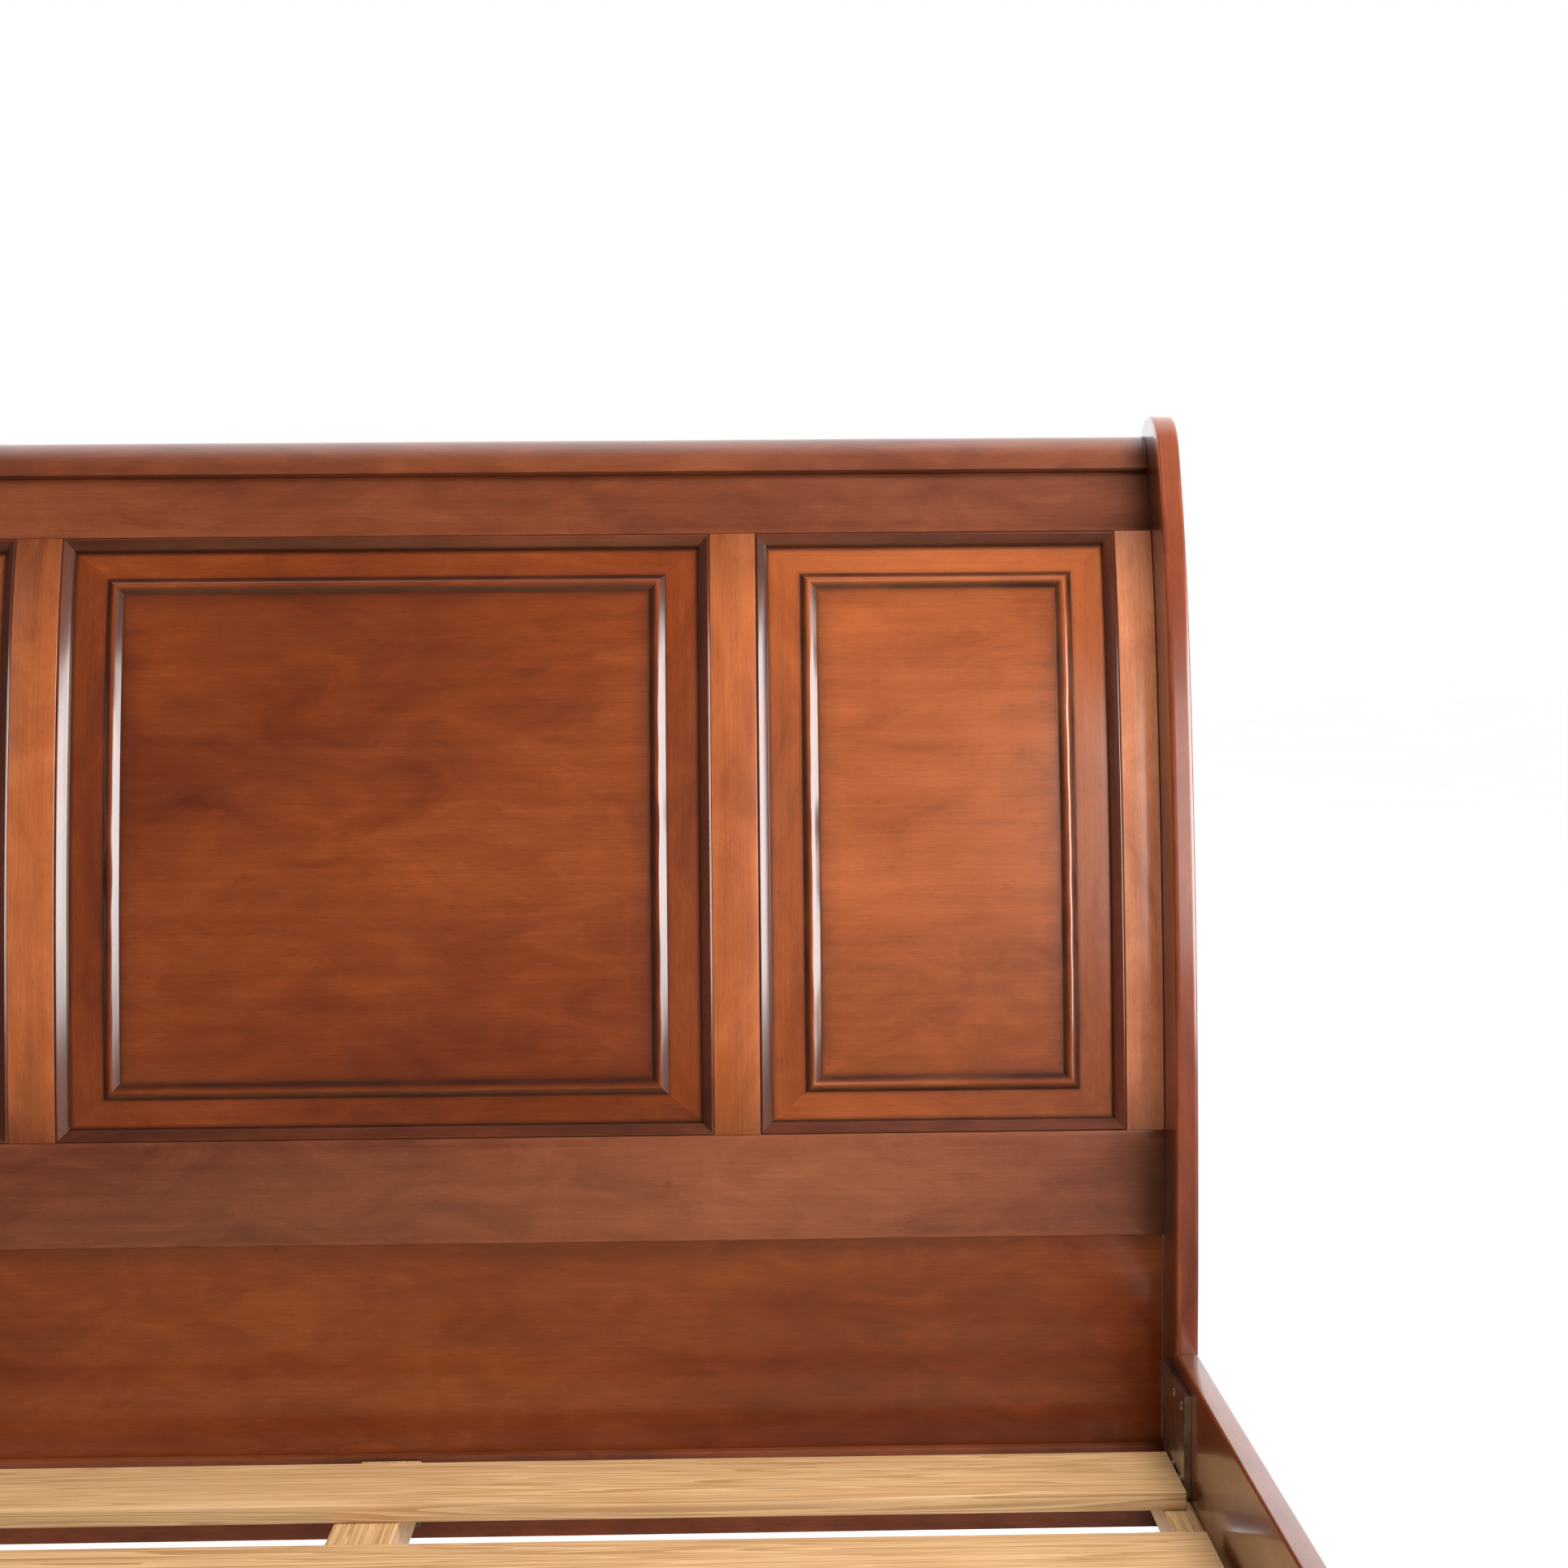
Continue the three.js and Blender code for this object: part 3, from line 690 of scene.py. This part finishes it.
def floor_paint(name):
    """A plain pale floor, faintly uneven."""
    m = Shader(name)
    at = m.node("ShaderNodeTexCoord").outputs["Object"]
    soft = m.noise(m.scaled(at, 1.2, 1.2), detail=3.0)
    paint = m.mix(m.spread(soft, 0.3, 0.7), (0.945, 0.934, 0.918), (0.958, 0.947, 0.931))
    m.link(paint, m.bsdf.inputs["Base Color"])
    sockets(m.bsdf, Roughness=0.75)
    return m.material


CENTRE_WOOD = mahogany("mahogany_centre_panel", linear(87, 34, 8), linear(121, 54, 19), linear(148, 74, 31))
SIDE_WOOD = mahogany("mahogany_side_panel", linear(115, 53, 21), linear(150, 77, 35), linear(173, 93, 45))
RAIL_WOOD = mahogany("mahogany_rail", linear(75, 34, 19), linear(110, 56, 30), linear(135, 72, 42))
LOWER_WOOD = mahogany("mahogany_lower_rail", linear(82, 40, 27), linear(119, 65, 41), linear(145, 84, 55))
# the muntins' lighter tone holds some painted sheen
UPRIGHT_WOOD = mahogany("mahogany_upright", linear(122, 59, 31), linear(167, 91, 47), linear(196, 115, 66))
# a lighter copy of the upright tone: painted sheen on the stiles
STILE_WOOD_SHEEN = mahogany("mahogany_stile", linear(167, 96, 68), linear(224, 144, 103), linear(255, 175, 130))
# a darker copy of the wood: painted shade on the mouldings' slopes
MOULDING_WOOD_SHADED = mahogany("mahogany_moulding", linear(54, 22, 13), linear(84, 38, 20), linear(112, 54, 30))
POST_WOOD = mahogany("mahogany_post", linear(77, 32, 15), linear(116, 52, 27), linear(138, 68, 38), gloss=0.36)
SLAT_WOOD = plain_wood("slat_wood", linear(176, 132, 86), linear(216, 178, 130))
STEEL = plated_steel("plated_steel")


# ---- the two boards ----
def build_board(board):
    side = board["side"]
    rails = board["rails"]
    low = rails["middle"][1] if "middle" in rails else rails["bottom"][1]
    high = rails["top"][0]
    post(board, f"{side}_post_left", -1, POST_WOOD)
    post(board, f"{side}_post_right", 1, POST_WOOD)
    crest_roll(board, RAIL_WOOD)
    rail(board, f"{side}_top_rail", rails["top"], True, False, RAIL_WOOD)
    rail(board, f"{side}_bottom_rail", rails["bottom"], False, True, RAIL_WOOD)
    outer = INNER - GAP
    upright(board, f"{side}_stile_left", -outer, -STILE_IN, low, high, ("right",), STILE_WOOD_SHEEN)
    upright(board, f"{side}_stile_right", STILE_IN, outer, low, high, ("left",), STILE_WOOD_SHEEN)
    both = ("left", "right")
    upright(board, f"{side}_muntin_left", -MUNTIN_OUT, -MUNTIN_IN, low, high, both, UPRIGHT_WOOD)
    upright(board, f"{side}_muntin_right", MUNTIN_IN, MUNTIN_OUT, low, high, both, UPRIGHT_WOOD)
    openings = (
        ("left", -STILE_IN, -MUNTIN_OUT),
        ("centre", -MUNTIN_IN, MUNTIN_IN),
        ("right", MUNTIN_OUT, STILE_IN),
    )
    for name, x0, x1 in openings:
        veneer = CENTRE_WOOD if name == "centre" else SIDE_WOOD
        panel(board, f"{side}_panel_{name}", x0, x1, low, high, veneer)
        moulding(board, f"{side}_moulding_{name}", x0, x1, low, high, MOULDING_WOOD_SHADED)


build_board(HEAD)
build_board(FOOT)
rail(HEAD, "head_middle_rail", HEAD["rails"]["middle"], True, True, LOWER_WOOD)


def lower_panel():
    """The plain panel behind the mattress."""
    reach = INNER - GAP
    s0 = HEAD["rails"]["bottom"][1] - TONGUE
    s1 = HEAD["rails"]["middle"][0] + TONGUE
    profile = [(0.0, 0.0, PANEL_BACK, 0.0), (0.0, 0.0, PANEL_FRONT, 0.0)]
    looped(HEAD, "head_lower_panel", (-reach, reach, s0, s1), profile, False, CENTRE_WOOD, 0)


lower_panel()


# ---- rails, ledgers, beam, legs and slats: boards with eased edges ----
def board_piece(name, material, radius, axis, proud=0.4):
    """A straight board the size of its node, with rounded long edges and its grain along `axis`."""
    low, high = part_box(name)
    low, high = Vector(low), Vector(high)
    across = [i for i in range(3) if i != axis]
    u, v = across
    corners = [(low[u], low[v]), (high[u], low[v]), (high[u], high[v]), (low[u], high[v])]
    outline = [(p, q, proud) for p, q, _ in rounded(corners, radius, 4)]
    points, marks, rows = [], [], []
    eased = 0.6 * MM
    middle = [(low[i] + high[i]) / 2 for i in across]
    stops = [(low[axis], eased), (low[axis] + eased, 0.0), (high[axis] - eased, 0.0), (high[axis], eased)]
    for a, inset in stops:
        row = []
        for p, q, relief in outline:
            point = [0.0, 0.0, 0.0]
            point[axis] = a
            for i, value, centre in ((u, p, middle[0]), (v, q, middle[1])):
                point[i] = value - math.copysign(min(inset, abs(value - centre)), value - centre)
            row.append(len(points))
            points.append(tuple(point))
            marks.append((point[axis], point[u], point[v], relief if inset else relief * 0.5))
        rows.append(row)
    make_piece(name, points, loft(rows), marks, material)


for end in ("left", "right"):
    board_piece(f"side_rail_{end}", RAIL_WOOD, 3.0 * MM, 1)
    board_piece(f"slat_ledger_{end}", SLAT_WOOD, 1.5 * MM, 1, 0.0)
board_piece("centre_beam", SLAT_WOOD, 2.0 * MM, 1, 0.0)
for name in sorted(NODES):
    if name.startswith("slat_") and not name.startswith("slat_ledger"):
        board_piece(name, SLAT_WOOD, 2.5 * MM, 0, 0.0)


def centre_leg(name):
    """A square leg, tapered at its foot."""
    low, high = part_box(name)
    middle = Vector(((low.x + high.x) / 2, (low.y + high.y) / 2))
    half = (high.x - low.x) / 2
    rows, points, marks = [], [], []
    heights = [(0.0, half - 8 * MM), (0.001, half - 7 * MM), (0.012, half - 4 * MM), (0.060, half)]
    heights += [(z, half) for z in levels(0.08, high.z - 0.001, 0.04)] + [(high.z, half - 0.8 * MM)]
    for z, r in heights:
        square = rounded([(-r, -r), (r, -r), (r, r), (-r, r)], 2.5 * MM, 4)
        row = []
        for px, py, _ in square:
            row.append(len(points))
            points.append((middle.x + px, middle.y + py, z))
            marks.append((px, z, py, 0.0))
        rows.append(row)
    make_piece(name, points, loft(rows), marks, SLAT_WOOD, along_x=False)


for end in ("head", "foot"):
    centre_leg(f"centre_leg_{end}")


# ---- steel fittings and their screws ----
def plated(name):
    """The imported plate, with eased edges and a steel finish."""
    node = NODES[name]
    node.data.materials.clear()
    node.data.materials.append(STEEL)
    ease = node.modifiers.new("eased edges", "BEVEL")
    ease.width = 0.5 * MM
    ease.segments = 2
    ease.limit_method = "ANGLE"
    ease.angle_limit = math.radians(35)


def cross(turn):
    """The radius of a cross recess's outline at that angle."""
    arm, reach = 0.55 * MM, 2.1 * MM
    c, s = abs(math.cos(turn)), abs(math.sin(turn))
    return min(reach, arm / max(min(c, s), 1e-6))


def screws(name, places, facing):
    """Round-headed screws with cross recesses, one mesh for a fitting."""
    count = 48
    rings = ((4.4, 0.0), (4.4, 0.35), (4.1, 0.9), (3.4, 1.45), (2.7, 1.75))  # (radius, height) in millimetres
    turned = Vector((0, 0, 1)).rotation_difference(Vector(facing))
    points, faces = [], []
    for index, place_at in enumerate(places):
        twist = 0.4 + 1.3 * index
        start = len(points)
        circles = [[(r * MM, z * MM)] * count for r, z in rings]
        for z in (1.80, 0.55):  # the rim and the bottom of the recess
            circles.append([(cross(2 * math.pi * k / count), z * MM) for k in range(count)])
        for circle in circles:
            for k, (r, z) in enumerate(circle):
                turn = 2 * math.pi * k / count + twist
                local = Vector((r * math.cos(turn), r * math.sin(turn), z))
                points.append(tuple(Vector(place_at) + turned @ local))
        faces += [tuple(start + i for i in face) for face in loft(circles)]
    mesh = bpy.data.meshes.new(name)
    mesh.from_pydata(points, [], faces)
    mesh.materials.append(STEEL)
    tidy_mesh(mesh)
    mesh.shade_smooth()
    mesh.set_sharp_from_angle(angle=math.radians(40))
    piece = bpy.data.objects.new(name, mesh)
    bpy.context.scene.collection.objects.link(piece)
    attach(piece, "root")


for end in ("head", "foot"):
    for name, sign in (("left", -1), ("right", 1)):
        plated(f"slot_plate_{end}_{name}")
        hook = f"hook_plate_{end}_{name}"
        plated(hook)
        low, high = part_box(hook)
        inner = low.x if sign > 0 else high.x
        towards_rail = -1 if end == "head" else 1
        start = low.y if end == "head" else high.y
        spots = [
            (inner, start - towards_rail * out, low.z + up)
            for out in (14 * MM, 50 * MM)
            for up in (14 * MM, 86 * MM)
        ]
        screws(f"screws_{hook}", spots, (-sign, 0, 0))
    cradle = f"cradle_{end}"
    plated(cradle)
    low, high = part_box(cradle)
    wall = high.y if end == "head" else low.y
    out = -1 if end == "head" else 1
    heights = (low.z + 8 * MM, high.z - 12 * MM)
    spots = [(x * 43 * MM, wall + out * 3 * MM, z) for x in (-1, 1) for z in heights]
    screws(f"screws_{cradle}", spots, (0, out, 0))


# ---- floor, light and camera ----
def area_light(name, at, towards, width, height, radiance, colour):
    """A soft rectangular light of an even radiance."""
    data = bpy.data.lights.new(name, "AREA")
    data.shape = "RECTANGLE"
    data.size = width
    data.size_y = height
    data.energy = radiance * math.pi * width * height
    data.color = colour
    lamp = bpy.data.objects.new(name, data)
    bpy.context.scene.collection.objects.link(lamp)
    lamp.location = at
    lamp.visible_camera = False
    lamp.rotation_mode = "QUATERNION"
    lamp.rotation_quaternion = (Vector(towards) - Vector(at)).to_track_quat("-Z", "Y")
    return lamp


def floor():
    """A large plain floor that isn't mirrored in the lacquer."""
    half = 30.0
    mesh = bpy.data.meshes.new("floor")
    corners = [(-half, -half, 0), (half, -half, 0), (half, half, 0), (-half, half, 0)]
    mesh.from_pydata(corners, [], [(0, 1, 2, 3)])
    mesh.materials.append(floor_paint("floor_paint"))
    made = bpy.data.objects.new("floor", mesh)
    bpy.context.scene.collection.objects.link(made)
    made.location.z = -0.4 * MM
    made.visible_glossy = False


def daylight(ahead, behind):
    """A surround that looks white and lights the scene mostly from above and behind the headboard.

    ahead and behind are its strengths in front of the headboard and behind it.
    """
    world = bpy.data.worlds.new("surround")
    bpy.context.scene.world = world
    world.use_nodes = True
    tree = world.node_tree
    tree.nodes.clear()
    out = tree.nodes.new("ShaderNodeOutputWorld")
    seen = tree.nodes.new("ShaderNodeBackground")
    lit = tree.nodes.new("ShaderNodeBackground")
    mixed = tree.nodes.new("ShaderNodeMixShader")
    rays = tree.nodes.new("ShaderNodeLightPath")
    towards = tree.nodes.new("ShaderNodeTexCoord")
    part = tree.nodes.new("ShaderNodeVectorMath")
    part.operation = "DOT_PRODUCT"
    part.inputs[1].default_value = (0.12, 1.0, 0.30)
    fade = tree.nodes.new("ShaderNodeMapRange")
    fade.interpolation_type = "SMOOTHSTEP"
    sockets(fade, From_Min=-0.10, From_Max=0.60, To_Min=ahead, To_Max=behind)
    seen.inputs["Color"].default_value = (1, 1, 1, 1)
    seen.inputs["Strength"].default_value = 1.0
    lit.inputs["Color"].default_value = (0.97, 0.98, 1.0, 1)
    tree.links.new(towards.outputs["Generated"], part.inputs[0])
    tree.links.new(part.outputs["Value"], fade.inputs["Value"])
    tree.links.new(fade.outputs["Result"], lit.inputs["Strength"])
    tree.links.new(rays.outputs["Is Camera Ray"], mixed.inputs[0])
    tree.links.new(lit.outputs[0], mixed.inputs[1])
    tree.links.new(seen.outputs[0], mixed.inputs[2])
    tree.links.new(mixed.outputs[0], out.inputs["Surface"])


# Where the camera stands, measured from the headboard's face at the middle of the bed.
CAMERA_X = 0.3625
CAMERA_BACK = 2.1123
CAMERA_HEIGHT = 1.1441
CAMERA_YAW = 1.0  # degrees to the right
CAMERA_PITCH = 4.59  # degrees down
CAMERA_ROLL = 0.47  # degrees
CAMERA_LENS = 49.5  # mm on a 36 mm sensor


def camera():
    """The camera at the photograph's viewing angle."""
    data = bpy.data.cameras.new("camera")
    data.sensor_width = 36.0
    data.lens = CAMERA_LENS
    data.clip_start = 0.02
    made = bpy.data.objects.new("camera", data)
    bpy.context.scene.collection.objects.link(made)
    yaw, pitch, roll = (math.radians(v) for v in (CAMERA_YAW, CAMERA_PITCH, CAMERA_ROLL))
    right = Vector((math.cos(yaw), -math.sin(yaw), 0.0))
    ahead = Vector((math.sin(yaw) * math.cos(pitch), math.cos(yaw) * math.cos(pitch), -math.sin(pitch)))
    up = right.cross(ahead)
    tilted = right * math.cos(roll) - up * math.sin(roll)
    top = right * math.sin(roll) + up * math.cos(roll)
    turn = Matrix((tilted, top, -ahead)).transposed().to_4x4()
    made.matrix_world = Matrix.Translation((CAMERA_X, HEAD_Y - CAMERA_BACK, CAMERA_HEIGHT)) @ turn
    bpy.context.scene.camera = made


floor()
daylight(0.08, 1.95)
face = Vector((0.5, HEAD_Y, 0.95))
warm = (1.0, 0.975, 0.94)
overhead = area_light("overhead", (1.3, HEAD_Y - 1.2, 3.4), face, 2.2, 1.5, 11.0, warm)
overhead.visible_glossy = False
area_light("window_front", (2.36, HEAD_Y - 3.0, 1.55), face, 2.3, 1.2, 3.9, warm)
area_light("window_side", (2.65, HEAD_Y - 0.95, 1.25), face, 1.1, 1.5, 3.5, warm)
card = area_light("side_card", (2.45, HEAD_Y - 1.7, 1.30), face, 2.3, 1.4, 10.0, (1.0, 0.97, 0.97))
card.visible_diffuse = False
foot_fill = area_light("foot_fill", (0.6, FOOT_Y - 2.4, 1.5), (0, FOOT_Y, 0.4), 2.0, 1.6, 3.0, warm)
foot_fill.visible_glossy = False
area_light("fill", (-2.4, HEAD_Y - 2.6, 2.4), face, 1.6, 1.6, 0.35, warm)
camera()
bpy.context.scene.view_settings.view_transform = "Standard"
